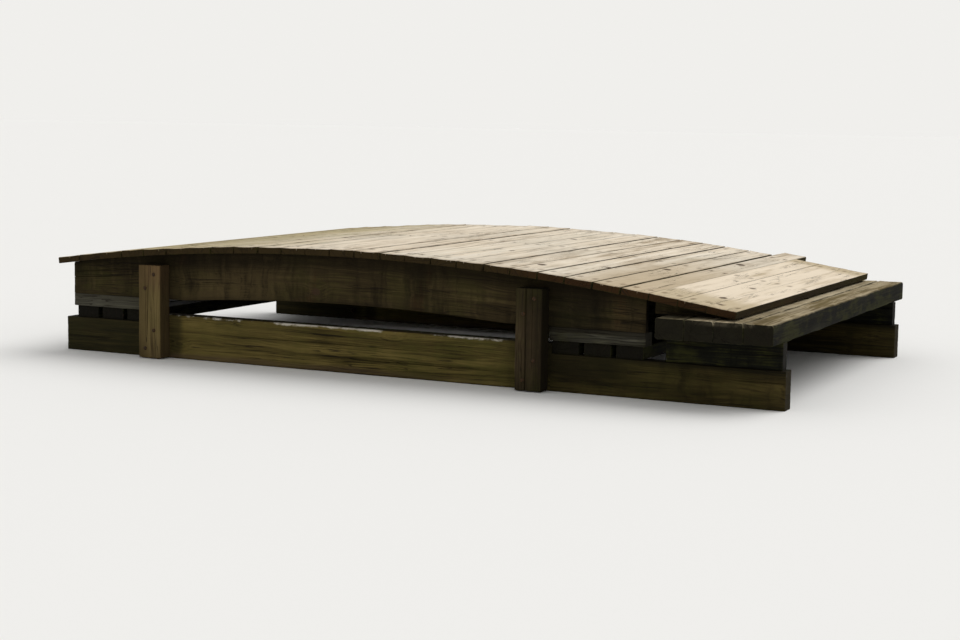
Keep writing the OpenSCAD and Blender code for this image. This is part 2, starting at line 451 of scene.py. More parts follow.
class Value:
    """What a node works out. Sums and products of values make the nodes for them, so that a finish reads as a
    formula."""

    def __init__(self, shader, socket):
        self.shader, self.socket = shader, socket

    def __add__(self, other):
        return self.shader.math("ADD", self, other)

    def __mul__(self, other):
        return self.shader.math("MULTIPLY", self, other)

    def __sub__(self, other):
        return self.shader.math("SUBTRACT", self, other)

    def __rsub__(self, other):
        return self.shader.math("SUBTRACT", other, self)

    def __abs__(self):
        return self.shader.math("ABSOLUTE", self)

    __radd__, __rmul__ = __add__, __mul__

    def swing(self, amount):
        """How far the value lies from a half, times an amount."""
        return (self - 0.5) * amount

    def band(self, low, high):
        """Smooth step: 0 at low and 1 at high, which may be the smaller number."""
        least, most, start, end = (low, high, 0.0, 1.0) if low <= high else (high, low, 1.0, 0.0)
        return self.shader.value("MapRange", {
            "Value": self, "From Min": least, "From Max": most, "To Min": start, "To Max": end,
        }, interpolation_type="SMOOTHSTEP")

    def near(self, place, outer, inner):
        """Smooth step that is 1 closer to a place than inner, and 0 past outer."""
        return abs(self - place).band(outer, inner)


class Shader:
    """Short words for the nodes of a material or a world."""

    def __init__(self, owner):
        owner.use_nodes = True
        self.owner, self.tree = owner, owner.node_tree
        self.tree.nodes.clear()
        self.surface = None

    def node(self, kind, inputs=(), **settings):
        """New node, named without its usual prefix. Its inputs are numbers, other values or names of colours."""
        made = self.tree.nodes.new(f"ShaderNode{kind}")
        for key, value in settings.items():
            setattr(made, key, value)
        for key, value in dict(inputs).items():
            if isinstance(value, Value):
                self.tree.links.new(value.socket, made.inputs[key])
            elif isinstance(value, str):
                made.inputs[key].default_value = (*getattr(bpy.context.scene.footbridge_colours, value), 1.0)
            else:
                made.inputs[key].default_value = value
        return made

    def value(self, kind, inputs=(), output=0, **settings):
        """What a new node works out."""
        return Value(self, self.node(kind, inputs, **settings).outputs[output])

    def math(self, operation, *values):
        """One sum of numbers."""
        return self.value("Math", enumerate(values), operation=operation)

    def vector(self, operation, *values):
        """One sum of vectors."""
        output = "Value" if operation == "LENGTH" else "Vector"
        return self.value("VectorMath", enumerate(values), output, operation=operation)

    def parts(self, vector):
        """The three numbers of a vector."""
        return [Value(self, socket) for socket in self.node("SeparateXYZ", {0: vector}).outputs[:3]]

    def combine(self, *numbers):
        """Vector from three numbers."""
        return self.value("CombineXYZ", enumerate(numbers))

    def distance(self, first, second):
        """Distance of a point that lies two measures away, at right angles to each other."""
        return self.vector("LENGTH", self.combine(first, second, 0.0))

    def noise(self, where, stretch, detail=3.0, rough=0.55):
        """Cloudy value around 0.5, with stretch cells a metre along each axis."""
        scaled = self.vector("MULTIPLY", where, stretch)
        return self.value(
            "TexNoise", {"Vector": scaled, "Scale": 1.0, "Detail": detail, "Roughness": rough})

    def mix(self, share, first, second, blend="MIX"):
        """Colour between two others."""
        return self.value(
            "Mix", {0: share, 6: first, 7: second}, 2, data_type="RGBA", blend_type=blend,
            clamp_factor=True)

    def cover(self, share, tone, blend="MIX"):
        """Lays a share of a colour over the surface."""
        self.surface = self.mix(share, self.surface, tone, blend)

    def finish(self, roughness, height, specular=0.06):
        """Joins the surface's colour, its roughness and a height in millimetres, and gives the material."""
        bump = self.value("Bump", {"Strength": 1.0, "Distance": 0.001, "Height": height})
        shaded = self.value("BsdfPrincipled", {
            "Base Color": self.surface, "Roughness": roughness, "Normal": bump, "Specular IOR Level": specular})
        self.node("OutputMaterial", {0: shaded})
        return self.owner


class Wood(Shader):
    """Old wood: growth rings, fibres, knots and checks in a board's own measures, and stains in the bridge's.

    The surface starts with a timber's three tones, and shares are those of wood_colour."""

    ring_pitch = 0.0055
    knot_cells = 3.2
    wet_ring = (0.02, 0.015, 0.01, 1.0)
    knot_tone = (0.05, 0.03, 0.018, 1.0)
    crack_tone = (0.018, 0.013, 0.009, 1.0)

    def __init__(self, name, timber, *shares):
        super().__init__(bpy.data.materials.new(name))
        place = self.value("Attribute", output="Vector", attribute_name="place")
        self.tone, self.end, self.edge, self.from_end = (
            self.value("Attribute", output="Fac", attribute_name=label)
            for label in ("tone", "end_grain", "edge", "from_end"))
        self.bridge = self.value("TexCoord", output="Object")
        self.x, self.y, self.z = self.parts(self.bridge)
        self.along, self.across, self.thick = self.parts(place)
        normal = self.value("NewGeometry", output="Normal")
        self.facing_x, self.facing_y, self.facing_up = self.parts(normal)
        shift = self.value("VectorMath", {0: (37.0, 19.0, 23.0), "Scale": self.tone}, operation="SCALE")
        self.lay_grain(self.vector("ADD", place, shift))
        self.surface = self.wood_colour(*(f"{timber}_{depth}" for depth in ("pale", "mid", "dark")), *shares)

    def lay_grain(self, grain):
        """Bends the grain round the knots, then draws rings, fibres, streaks and checks along it."""
        cells = self.vector("MULTIPLY", grain, (self.knot_cells * 0.8, self.knot_cells, self.knot_cells))
        knots = self.value("TexVoronoi", {"Vector": cells, "Scale": 1.0}, "Distance")
        slow = self.noise(grain, (1.6, 7.0, 7.0), 2.0)
        push = slow.swing(0.05) + knots.band(0.26, 0.04) * 0.022
        bent = self.vector("ADD", grain, self.combine(0.0, push, push))
        off_pith = self.across + self.tone.swing(0.12) + push
        below_pith = self.thick + 0.055 + self.along * (self.tone - 0.45) * 0.07
        turns = self.math("FRACT", self.distance(off_pith, below_pith) * (1 / self.ring_pitch) + slow * 2.0)
        lines = self.noise(bent, (1.3, 62.0, 62.0), 2.0, 0.45)
        spokes = self.combine(self.math("ARCTAN2", off_pith, below_pith), self.tone, 0.0)
        self.knot = knots.band(0.075, 0.045)
        self.ring = turns.band(0.25, 0.85) * turns.band(1.0, 0.92)
        self.fibre = self.noise(bent, (3.0, 130.0, 130.0), 4.0, 0.6)
        self.hair = self.noise(bent, (16.0, 520.0, 520.0), 2.0)
        self.streak = self.noise(bent, (0.9, 26.0, 26.0), 3.0)
        self.patch = self.noise(self.bridge, (1.9, 1.9, 1.9), 5.0, 0.6)
        self.check = lines.near(0.5, 0.016, 0.004) * self.noise(grain, (2.4, 14.0, 14.0), 1.0).band(0.5, 0.62)
        self.end_check = self.noise(spokes, (16.0, 40.0, 1.0), 2.0).band(0.60, 0.66) * self.end

    def wood_colour(self, pale, mid, dark, contrast=1.0, ring_share=0.16, tone_share=0.55):
        """Three tones by the sum of fibres, streaks, rings, patches and the board's own tone."""
        light = (
            self.fibre.swing(1.5 * contrast) + self.streak.swing(2.1 * contrast) + self.patch.swing(contrast)
            + self.ring * -ring_share + self.tone.swing(tone_share) + (0.5 + ring_share / 2))
        darker = self.mix(light.band(0.0, 0.5), dark, mid)
        return self.mix(light.band(0.45, 1.05), darker, pale)

    def runs(self, width, reach, low, high):
        """Mask of stains that ran down an upright face: narrow, long, a little crooked, broken by the fibres."""
        sideways = self.noise(self.bridge, (4.0, 4.0, 9.0), 2.0).swing(0.07)
        crooked = self.vector("ADD", self.bridge, self.combine(sideways, sideways, 0.0))
        stain = self.noise(crooked, (1 / width, 1 / width, 1 / reach), 5.0, 0.62) + self.fibre.swing(0.35)
        present = self.noise(self.bridge, (1.7, 1.7, 2.6), 2.0).band(0.34, 0.58)
        return stain.band(low, high) * abs(self.facing_up).band(0.8, 0.4) * (0.25 + present * 0.75)

    def film(self, amount, cell=0.35):
        """Mask of a thin growth that gathers in patches and breaks up along the fibres."""
        cells = self.noise(self.bridge, (1 / cell, 1 / cell, 1.6 / cell), 5.0, 0.65)
        return (cells + self.fibre.swing(0.5)).band(0.42, 0.62) * amount

    def old_surface(self, end_tone, damp=0.0):
        """Ends, knots and checks over the surface, with the roughness and relief that go with them."""
        self.cover(self.end * 0.9, self.mix(self.ring * 0.55, end_tone, self.wet_ring))
        self.cover(self.knot * 0.8, self.knot_tone)
        cracks = self.math("MAXIMUM", self.check, self.end_check)
        self.cover(cracks * 0.75, self.crack_tone)
        relief = self.fibre * 1.1 + self.hair * 0.45 + self.ring * 0.35 + self.knot * 0.6 + cracks * -2.2
        return self.finish(0.80 - damp + self.fibre * 0.22 + self.check * 0.1, relief)


def nail_offset(scene):
    """Distance of the nails from a plank's middle line."""
    return scene.footbridge_wear.plank_width / 2 - scene.footbridge_fixings.nail_edge


def nail_stain(wood):
    """Mask of the stains round the nails: near a stringer's line and near the nails' distance from the edge."""
    _, middle, far = STRINGER_LINES
    from_line = wood.math("PINGPONG", wood.y - middle, (far - middle) / 2)
    from_nail = abs(wood.across) - nail_offset(bpy.context.scene)
    return (wood.distance(from_line * 0.45, from_nail) + wood.fibre.swing(0.012)).band(0.020, 0.004)


# Old dark knots in the deck: place along the span, place across the bridge, and size
DECK_KNOTS = (
    (1.662, -0.960, 0.021), (0.732, -1.003, 0.024), (1.311, 0.394, 0.026), (0.973, -0.713, 0.018),
    (1.164, -0.378, 0.022), (0.361, -0.558, 0.016), (-0.905, -0.640, 0.018), (-0.330, 0.250, 0.020))


def placed_knots(wood):
    """Mask of the knots: each an oval, longer along the plank, with its rim broken by the fibres."""
    ragged = wood.fibre.swing(0.9)
    mask = 0.0
    for x, y, size in DECK_KNOTS:
        distance = wood.distance((wood.x - x) * (1 / size), (wood.y - y) * (0.6 / size)) + ragged
        mask = wood.math("MAXIMUM", mask, distance.band(1.15, 0.55))
    return mask


def deck_wood(name):
    """Bleached planks: pale on top; at the ends, on the sides and underneath dark with damp and grime, and darker
    still with painted shade.
    """
    wood = Wood(name, "deck", 0.66, 0.10, 0.20)
    x, y = wood.x, wood.y
    landing_x = box("landing_wedges")[0][0]
    landing = x.band(landing_x - 0.003, landing_x + 0.003)
    rougher = 0.4 + x.band(0.1, 0.9) * 0.6
    scuffed = wood.noise(wood.bridge, (6.0, 1.4, 6.0), 5.0, 0.65)

    # Tops of the planks on the bow: silver patches, a dull right end, a mossy left end and scuffs
    silver = wood.noise(wood.bridge, (1.6, 0.9, 1.6), 4.0, 0.6)
    wood.cover(silver.band(0.42, 0.60) * 0.35, "silver_and_highlight")
    dull = x.band(0.75, 1.25) + wood.patch.swing(0.9)
    wood.cover(dull.band(0.2, 1.0) * y.band(0.7, -0.8) * 0.85, "deck_dull")
    mossy = x.band(-0.20, -1.60) + wood.patch.swing(1.3) + wood.tone.swing(0.3)
    wood.cover(mossy.band(0.0, 1.0), "deck_moss", "MULTIPLY")
    wood.cover(scuffed.band(0.53, 0.70) * rougher * 0.45, "deck_dark")

    # Tops of the landing's planks: smoother, and tan near their ends
    soft = wood.streak.swing(1.3) + wood.fibre.swing(0.9) + scuffed.swing(1.2) + 0.62
    smooth = wood.mix(soft.band(0.05, 0.75), "deck_dull", "landing_pale")
    at_ends = y.band(-0.80, -1.15) + y.band(0.75, 1.10) + wood.patch.swing(0.9)
    wood.cover(landing, wood.mix(at_ends.band(0.1, 0.9) * 0.75, smooth, "landing_tan"))

    seam = wood.edge.band(0.011, 0.0) * wood.streak.band(0.30, 0.60) * 0.85
    wood.cover(seam * (0.12 + (1.0 - landing) * rougher), "deck_end")
    wood.cover(wood.from_end.band(0.06, 0.0) * wood.fibre.band(0.35, 0.6) * 0.6, "deck_dark")
    wood.cover(nail_stain(wood) * 0.5, "rust")
    wood.cover(placed_knots(wood) * 0.85, "deck_brown")

    # Sides, undersides and sawn ends: damp and grime, with painted shade
    rusty = x.band(0.15, 1.0) + wood.patch.swing(1.2)
    sawn = wood.mix(rusty.band(0.3, 1.0) * 0.8, "deck_end", "deck_brown")
    grime_and_shade = wood.mix(wood.film(0.45), "deck_end", "algae")
    grime_and_shade = wood.mix(wood.streak.band(0.35, 0.65) * 0.5, grime_and_shade, "stringer_dark")
    grime_and_shade = wood.mix(wood.tone.band(0.4, 1.0) * 0.4, grime_and_shade, "stringer_dark")
    grime_and_shade = wood.mix(wood.end * 0.7, grime_and_shade, sawn)
    # Painted shade: every face that does not face up takes the dark mix, and the tops keep the pale one
    wood.surface = wood.mix(wood.facing_up.band(0.35, 0.75), grime_and_shade, wood.surface)
    return wood.old_surface(sawn)


def beside_left_post(wood):
    """Mask of a strip of painted shade that runs down beside the left posts, with a crooked edge."""
    post = box("post_near_left")[1][0]
    crooked = wood.x + wood.patch.swing(0.03)
    return wood.x.band(post - 0.02, post + 0.01) * crooked.band(post + 0.10, post + 0.05)


def beside_right_post(wood, outer, inner):
    """Mask of the shaded strip to the right of the right posts, which fades between two distances."""
    post = box("post_near_right")[1][0]
    return wood.x.band(post - 0.03, post + 0.01) * wood.x.band(post + outer, post + inner)


def stringer_wood(name):
    """Dark brown planks on edge with run stains and a thin green film, and painted shade that is darkest under
    the deck.
    """
    wood = Wood(name, "stringer", 0.6, 0.08)
    up_from_middle = wood.across
    wood.cover(wood.film(0.30, 0.45), "algae")
    wood.cover(wood.runs(0.16, 0.9, 0.56, 0.68) * 0.6, "red_stain")
    # A paler patch on the lower half, left of the crown
    paler_patch = wood.x.near(bow.crown_x - 0.7, 0.5, 0.2) * up_from_middle.band(0.09, -0.04)
    wood.cover(paler_patch * 0.45, "stringer_pale")
    wood.cover(wood.runs(0.12, 0.8, 0.44, 0.70) * 0.85, "stringer_dark")
    wood.cover(wood.runs(0.04, 0.7, 0.50, 0.72) * 0.6, "stringer_dark")
    wood.cover(wood.runs(0.05, 0.4, 0.50, 0.76) * 0.5, "stringer_pale")
    # Painted shadow beside the right posts
    wood.cover(beside_right_post(wood, 0.38, 0.20) * 0.6, "sole_mid")
    # Painted shade beside the left posts
    wood.cover(beside_left_post(wood) * 0.4, "stringer_dark")
    # Painted shade of the deck over the upper part of the stringers
    deck_shade = up_from_middle.band(-0.02, 0.10) + wood.patch.swing(0.8)
    wood.cover(deck_shade.band(0.0, 1.1) * 0.65, "stringer_dark")
    # Darker within 30 mm of both long edges: painted shade under the deck along the top, the same darkening along
    # the bottom
    wood.cover(wood.edge.band(0.03, 0.0) * 0.35, "stringer_dark")
    return wood.old_surface("stringer_dark")


def beam_wood(name):
    """Olive beams: a green film between the posts, pale spots of painted sunlight along the top edges, brown runs
    at the ends, and painted shade on the upward faces and beside the posts.
    """
    wood = Wood(name, "beam", 1.15)
    x, z, crown = wood.x, wood.z, bow.crown_x
    left, right = box("post_near_left")[:, 0], box("post_near_right")[:, 0]
    low, high = box("lower_beam_near")
    half = (high[1] - low[1]) / 2
    right_end = x.band(right[0] - 0.25, right[1] + 0.1)
    wood.cover(wood.film(0.55, 0.55), "algae")
    wood.cover(right_end * 0.55, "stringer_dark")
    wood.cover(x.band(left[1], left[0] + 0.02) * 0.8, "beam_damp_and_shade")
    wood.cover(x.near(crown - 0.62, 0.50, 0.25) * 0.28, "beam_pale")
    # Painted shade beside the left posts
    wood.cover(beside_left_post(wood) * 0.6, "beam_damp_and_shade")
    wood.cover(wood.runs(0.08, 0.5, 0.44, 0.76) * (0.2 + right_end) * 0.6, "stringer_dark")
    # Painted shadow beside the right posts, and painted shade along the top of the right ends under the soles
    post_shadow = beside_right_post(wood, 0.55, 0.30) * z.band(0.04, 0.10)
    wood.cover(wood.math("MAXIMUM", post_shadow, right_end * z.band(0.14, 0.18)) * 0.7, "sole_mid")
    dusty = (z + wood.patch.swing(0.05)).band(0.042, 0.014) * x.band(0.9, -0.6) * x.band(left[0], left[1])
    wood.cover(dusty * 0.5, "beam_edge")
    wood.cover(z.band(0.012, 0.0) * 0.6, "beam_dark")
    # Painted shade: the beams' upward faces under the deck are darker
    wood.cover(wood.facing_up.band(0.5, 0.9) * 0.8, "stringer_dark")

    # Pale spots along the outer top edge, in three stretches: weathered grey with a painted sunlit highlight
    spots = wood.noise(wood.bridge, (17.0, 17.0, 30.0), 5.0, 0.7)
    stretches = (
        x.near(crown - 0.06, 0.42, 0.20) + x.near(crown + 0.74, 0.30, 0.10) * 0.75
        + x.band(crown - 0.45, crown - 0.65) * 0.45)
    top_edge = (z + spots.swing(0.03)).band(high[2] - 0.012, high[2] - 0.001)
    outside = wood.thick.band(half - 0.022, half - 0.012)
    wood.cover(top_edge * outside * (spots + stretches * 0.35).band(0.62, 0.84) * 0.85, "silver_and_highlight")
    return wood.old_surface("beam_dark")


def post_wood(name, timber, top, stained, darker_left, darker_right):
    """Uprights: fibres run up and down, runs of dirt from the top, painted shade on the sides of the broad face
    and on the narrow sides, and a top tone that paints the deck's shadow on the right posts.
    """
    wood = Wood(name, timber, 0.45, 0.10)
    dark = f"{timber}_dark"
    half = np.ptp(box("post_near_left")[:, 0]) / 2
    height = wood.z + wood.patch.swing(0.2)
    # Top tone: reddish wood on the left posts, painted shadow of the deck on the right posts
    wood.cover(height.band(0.30, 0.48) * 0.6, top)
    wood.cover(height.band(0.16, 0.0) * 0.5, dark)
    wood.cover(wood.runs(0.03, 0.9, 0.50, 0.70) * stained, dark)
    # Painted shade on the left or right part of the broad face
    wavering = wood.across + wood.streak.swing(0.03)
    left_side = wavering.band(half * -0.3, half * -0.6) * darker_left
    wood.cover(left_side + wavering.band(half * 0.1, half * 0.6) * darker_right, dark)
    wood.cover(wood.film(0.2), "algae")
    # Painted shade on the narrow sides
    wood.cover(abs(wood.facing_x).band(0.6, 0.9) * 0.7, dark)
    return wood.old_surface(dark)


def sole_wood(name):
    """Sole planks and blocks: near-black tones that paint the deep shade they lie in, a little shiny with damp,
    and green where light reaches them.
    """
    wood = Wood(name, "sole")
    wood.cover(wood.film(0.45), "algae")
    wood.cover(wood.runs(0.06, 0.4, 0.54, 0.66) * 0.6, "sole_dark")
    return wood.old_surface("sole_mid", damp=0.15)


def packer_wood(name):
    """Packers: pale dry fibres, with painted shade along their tops under the stringers' seats, reaching further
    down at the right end.
    """
    wood = Wood(name, "packer")
    low, high = box("packers_left")[:, 2]
    wood.cover(wood.film(0.25), "algae")
    wood.cover(wood.x.band(-0.5, -1.8) * 0.4, "packer_pale")
    from_sole = (wood.z + wood.streak.swing(0.02) - low) * (1 / (high - low))
    # Painted shade under the stringers' seats, deeper at the right end
    shadowed = from_sole + wood.x.band(0.0, 0.5) * 0.32
    wood.cover(shadowed.band(0.86, 1.04) * 0.8, "packer_dark")
    return wood.old_surface("packer_mid")


def sleeper_wood(name):
    """Sleepers: dark sides and ends, and dry worn tops with a pale crust that is partly painted sunlight and
    thins under the deck's painted shade, with a broken rim of painted sunlight just under the top of their near
    faces.
    """
    wood = Wood(name, "sleeper")
    low, high = box("landing_sleepers")
    x, left, top = wood.x, low[0], high[2]
    cells = wood.noise(wood.bridge, (9.0, 9.0, 9.0), 4.0, 0.6)
    wood.cover(wood.film(0.30, 0.2), "algae")
    # The pale crust is partly dust and partly painted sunlight
    crust = wood.wood_colour("sleeper_crust_and_sunlight", "sleeper_worn", "brown_mid", 1.1, 0.15, 0.35)
    crust = wood.mix(wood.film(0.35, 0.25), crust, "brown_dark")
    seam = wood.edge.band(0.014, 0.0) * wood.fibre.band(0.25, 0.6)
    crust = wood.mix(seam * 0.85, crust, "sleeper_dark")
    lying = (wood.facing_up + cells.swing(0.7)).band(0.35, 0.85)
    # Less crust on the left part, under the deck: painted shade
    wood.cover(lying * (0.25 + x.band(left + 0.05, left + 0.28) * 0.68), crust)
    # Painted sunlit rim just under the top of the near faces
    rim = wood.z.band(top - 0.028, top - 0.012) * x.band(left + 0.13, left + 0.32)
    rim = rim * cells.band(0.38, 0.52) * wood.facing_y.band(-0.2, -0.7)
    wood.cover(rim * 0.85, "sleeper_crust_and_sunlight")
    return wood.old_surface("sleeper_mid")


def rusty_iron(name):
    """Nails and bolts: brown rust in crusts over dark iron."""
    metal = Shader(bpy.data.materials.new(name))
    place = metal.value("TexCoord", output="Object")
    coarse = metal.noise(place, (160.0, 160.0, 160.0), 5.0, 0.65)
    fine = metal.noise(place, (900.0, 900.0, 900.0), 3.0)
    crust = coarse.band(0.40, 0.62)
    metal.surface = metal.mix(crust, "iron", "rust")
    metal.cover(fine.band(0.5, 0.7) * 0.4, (0.02, 0.012, 0.008, 1.0))
    return metal.finish(0.62 + crust * 0.28, coarse * 0.5 + fine * 0.25, specular=0.15)


FINISHES = {
    "deck_wood": (deck_wood,),
    "stringer_wood": (stringer_wood,),
    "beam_wood": (beam_wood,),
    "post_wood_brown": (post_wood, "brown", "brown_top", 0.12, 0.4, 0.0),
    # The right posts take their dark grain as top tone: a painted shadow of the deck
    "post_wood_grey": (post_wood, "grey", "grey_dark", 0.35, 0.0, 0.6),
    "packer_wood": (packer_wood,),
    "sole_wood": (sole_wood,),
    "sleeper_wood": (sleeper_wood,),
    "rusty_iron": (rusty_iron,),
}
materials = {}


def material(name):
    """A finish of the bridge, made the first time that it is asked for."""
    if name not in materials:
        maker, *details = FINISHES[name]
        materials[name] = maker(name, *details)
    return materials[name]


def laid_planks():
    """Every plank's node, its middle, its axes (along it, across it and out of its top) and half its length. A
    plank's slope is the mean of the directions to its two neighbours."""
    boxes = np.array([box(name) for name in PLANKS])
    centres = boxes.mean(1)
    chords = np.arctan2(np.diff(centres[:, 2]), np.diff(centres[:, 0]))
    tilts = np.concatenate([[1.5 * chords[0] - 0.5 * chords[1]], (chords[1:] + chords[:-1]) / 2, chords[-1:]])
    for name, (low, high), middle, tilt in zip(PLANKS, boxes, centres, tilts):
        axes = [(0.0, 1.0, 0.0), (np.cos(tilt), 0.0, np.sin(tilt)), (-np.sin(tilt), 0.0, np.cos(tilt))]
        yield name, middle, np.array(axes), (high[1] - low[1]) / 2


def on_edge(rng, x, bottom, top, corners, side, arris=1.0, **changes):
    """Placed board on edge: it runs along x between two heights, fills a box across the bridge and faces its
    side. Its arris is a share of the timbers'."""
    low, high = corners
    board = Board(rng, x, bottom, top, high[1] - low[1], worn().timber_arris * arris, **changes)
    axes = np.array([(1.0, 0.0, 0.0), (0.0, 0.0, 1.0), (0.0, OUTWARDS[side], 0.0)])
    return board, (0.0, (low[1] + high[1]) / 2, 0.0), axes, rng.random()


class FOOTBRIDGE_OT_deck(Operator):
    """Lays the worn planks on the bow and on the landing"""

    bl_idname = "footbridge.deck"
    bl_label = "Deck planks"

    def execute(self, context):
        wear = context.scene.footbridge_wear
        for index, (node, middle, axes, reach) in enumerate(laid_planks()):
            rng = draws("deck", index)
            if middle[0] > bow.x1 + wear.plank_width / 2:
                thickness = wear.plank_thickness - wear.thinning * rng.uniform(0.4, 0.6)
                width, arris, most_cup = wear.landing_width, wear.tight_arris, wear.cup * 0.3
                tone = rng.uniform(0.7, 1.0)
            else:
                thickness = wear.plank_thickness - wear.thinning * rng.random()
                width, tone = wear.plank_width - wear.narrowing * rng.random(), rng.random()
                arris, most_cup = wear.plank_arris, wear.cup
            board = Board(
                rng, steps(-reach, reach), -width / 2, width / 2, thickness, arris,
                end_splits(rng, -reach, reach, rng.integers(1, 4)), cup=most_cup * rng.uniform(0.2, 1),
                skew=wear.skew * rng.uniform(-1, 1))
            middle = middle - axes[2] * (wear.plank_thickness - thickness) / 2
            make_piece(f"plank_{index + 1:02d}", "deck_wood", [(board, middle, axes, tone)], node)
        return {"FINISHED"}


class FOOTBRIDGE_OT_stringers(Operator):
    """Makes the arched stringers, with their level seats"""

    bl_idname = "footbridge.stringers"
    bl_label = "Bowed stringers"

    def execute(self, context):
        x = steps(bow.x0, bow.x1)
        for index, row in enumerate(ROWS):
            rng = draws("stringers", index)
            board = on_edge(
                rng, x, bow.underside(x), bow.top(x), box(f"stringer_{row}"), row, arris=0.8,
                splits=end_splits(rng, bow.x0, bow.x1, 3, 0.5), ripple=worn().ripple * 1.4, fine=13)
            make_piece(f"bowed_stringer_{row}", "stringer_wood", [board], f"stringer_{row}")
        return {"FINISHED"}


class FOOTBRIDGE_OT_beams(Operator):
    """Makes the straight lower beams, with a rebate sawn into the top of each end"""

    bl_idname = "footbridge.beams"
    bl_label = "Lower beams"
    saw_cut = 0.0015
    # Drying checks: share across the face, width, depth, and start and end from the crown
    checks = ((0.62, 0.005, 0.012, -0.75, 0.6), (0.31, 0.004, 0.010, 0.0, 1.0))

    def execute(self, context):
        left, right = box("sole_planks_left")[1][0], box("sole_planks_right")[0][0]
        rebate_z = box("sole_planks_left")[0][2]
        for index, side in enumerate(SIDES):
            rng = draws("beams", index)
            low, high = box(f"lower_beam_{side}")
            x = np.concatenate([
                steps(low[0], left), steps(left + self.saw_cut, right - self.saw_cut), steps(right, high[0])])
            top = np.where((x > left) & (x < right), high[2], rebate_z)
            splits = end_splits(rng, low[0], high[0], 3, 0.6) + [
                Split(*sizes, bow.crown_x + start, bow.crown_x + end) for *sizes, start, end in self.checks]
            board = on_edge(
                rng, x, 0.0, top, (low, high), side, splits=splits, ripple=worn().ripple * 1.5, fine=13)
            make_piece(f"straight_beam_{side}", "beam_wood", [board], f"lower_beam_{side}")
        return {"FINISHED"}


class FOOTBRIDGE_OT_posts(Operator):
    """Makes the posts on the outer faces, the right ones with a long drying check"""

    bl_idname = "footbridge.posts"
    bl_label = "Side posts"
    # Drying checks at each end: share across the face, width, depth, and start and end from foot and top
    checks = {
        "left": ((0.40, 0.004, 0.010, 0.12, -0.1),),
        "right": ((0.38, 0.009, 0.030, -0.2, 0.1), (0.66, 0.004, 0.012, 0.1, 0.3)),
    }
    slots = {"left": "post_wood_brown", "right": "post_wood_grey"}

    def execute(self, context):
        wear = context.scene.footbridge_wear
        for index, (side, end) in enumerate((side, end) for side in SIDES for end in ENDS):
            rng = draws("posts", index)
            low, high = box(f"post_{side}_{end}")
            (*middle, _), (half, *_), foot, top = (low + high) / 2, (high - low) / 2, low[2], high[2]
            splits = end_splits(rng, foot, top, 2, 0.3) + [
                Split(*sizes, foot + start, top + stop) for *sizes, start, stop in self.checks[end]]
            board = Board(
                rng, steps(foot, top, 0.5), -half, half, high[1] - low[1], wear.timber_arris * 1.2, splits,
                ripple=wear.ripple * 1.3, easing=1.6, skew=wear.skew * 0.6, fine=11)
            axes = np.array([(0.0, 0.0, 1.0), (1.0, 0.0, 0.0), (0.0, OUTWARDS[side], 0.0)])
            placed = (board, (*middle, 0.0), axes, rng.random())
            make_piece(f"upright_{side}_{end}", self.slots[end], [placed], f"post_{side}_{end}")
        return {"FINISHED"}


def bar(rng, corners, along, through, arris=1.0, **changes):
    """Placed straight timber that fills a box: swept along one axis, thick through another, wide across the
    third. Its arris is a share of the timbers'."""
    low, high = corners
    half = (high - low) / 2
    across = 3 - along - through
    reach, width = half[along], half[across]
    skew = worn().skew * 0.4 * rng.uniform(-1, 1)
    board = Board(
        rng, steps(-reach, reach), -width, width, 2 * half[through], worn().timber_arris * arris,
        end_splits(rng, -reach, reach, rng.integers(1, 4)), skew=skew, **changes)
    return board, (low + high) / 2, np.eye(3)[[along, across, through]], rng.random()


class FOOTBRIDGE_OT_bearings(Operator):
    """Makes the dark sole planks in the rebates and the packers that carry the level seats"""

    bl_idname = "footbridge.bearings"
    bl_label = "End bearings"

    def execute(self, context):
        for index, end in enumerate(ENDS):
            rng = draws("bearings", index)
            soles = [bar(rng, corners, 1, 2) for corners in solids(f"sole_planks_{end}", 0)]
            make_piece(f"soles_{end}", "sole_wood", soles, f"sole_planks_{end}")
            strips = [bar(rng, corners, 0, 1) for corners in solids(f"packers_{end}", 1)]
            make_piece(f"packing_{end}", "packer_wood", strips, f"packers_{end}")
        return {"FINISHED"}


class FOOTBRIDGE_OT_landing(Operator):
    """Makes the sleepers past the bow, the blocks under them and the wedges on them"""

    bl_idname = "footbridge.landing"
    bl_label = "Landing"
    wedge_ripple = 0.0005

    def execute(self, context):
        rng = draws("landing")
        sleepers = [
            bar(rng, corners, 1, 2, arris=2.0, ripple=worn().ripple * 2)
            for corners in solids("landing_sleepers", 0)]
        make_piece("sleepers", "sleeper_wood", sleepers, "landing_sleepers")
        for side in SIDES:
            block = bar(rng, box(f"crib_block_{side}"), 0, 1)
            make_piece(f"block_{side}", "sole_wood", [block], f"crib_block_{side}")
        points = node_points("landing_wedges")
        strips = []
        for low, high in solids("landing_wedges", 1):
            x = steps(low[0], high[0])
            tip_z = points[points[:, 0] > high[0] - 0.001, 2].max()
            top = np.interp(x, [low[0], high[0]], [high[2], tip_z])
            strips.append(on_edge(rng, x, low[2], top, (low, high), "near", ripple=self.wedge_ripple))
        make_piece("wedge_strips", "stringer_wood", strips, "landing_wedges")
        return {"FINISHED"}


def turned(profile, sides, place, out):
    """Quads of a profile of (radius, height) points turned round an axis that points out from a place."""
    radius, height = np.array(profile, float).T
    angle = np.linspace(0, 2 * np.pi, sides, endpoint=False)
    out = np.asarray(out, float)
    first = np.cross(out, (1.0, 0.0, 0.0) if abs(out[0]) < 0.9 else (0.0, 1.0, 0.0))
    first /= np.linalg.norm(first)
    round_it = np.cos(angle)[:, None] * first + np.sin(angle)[:, None] * np.cross(out, first)
    points = np.asarray(place) + radius[:, None, None] * round_it + (height[:, None] * out)[:, None, :]
    return points.reshape(-1, 3), ring_quads(len(radius), sides)[0]


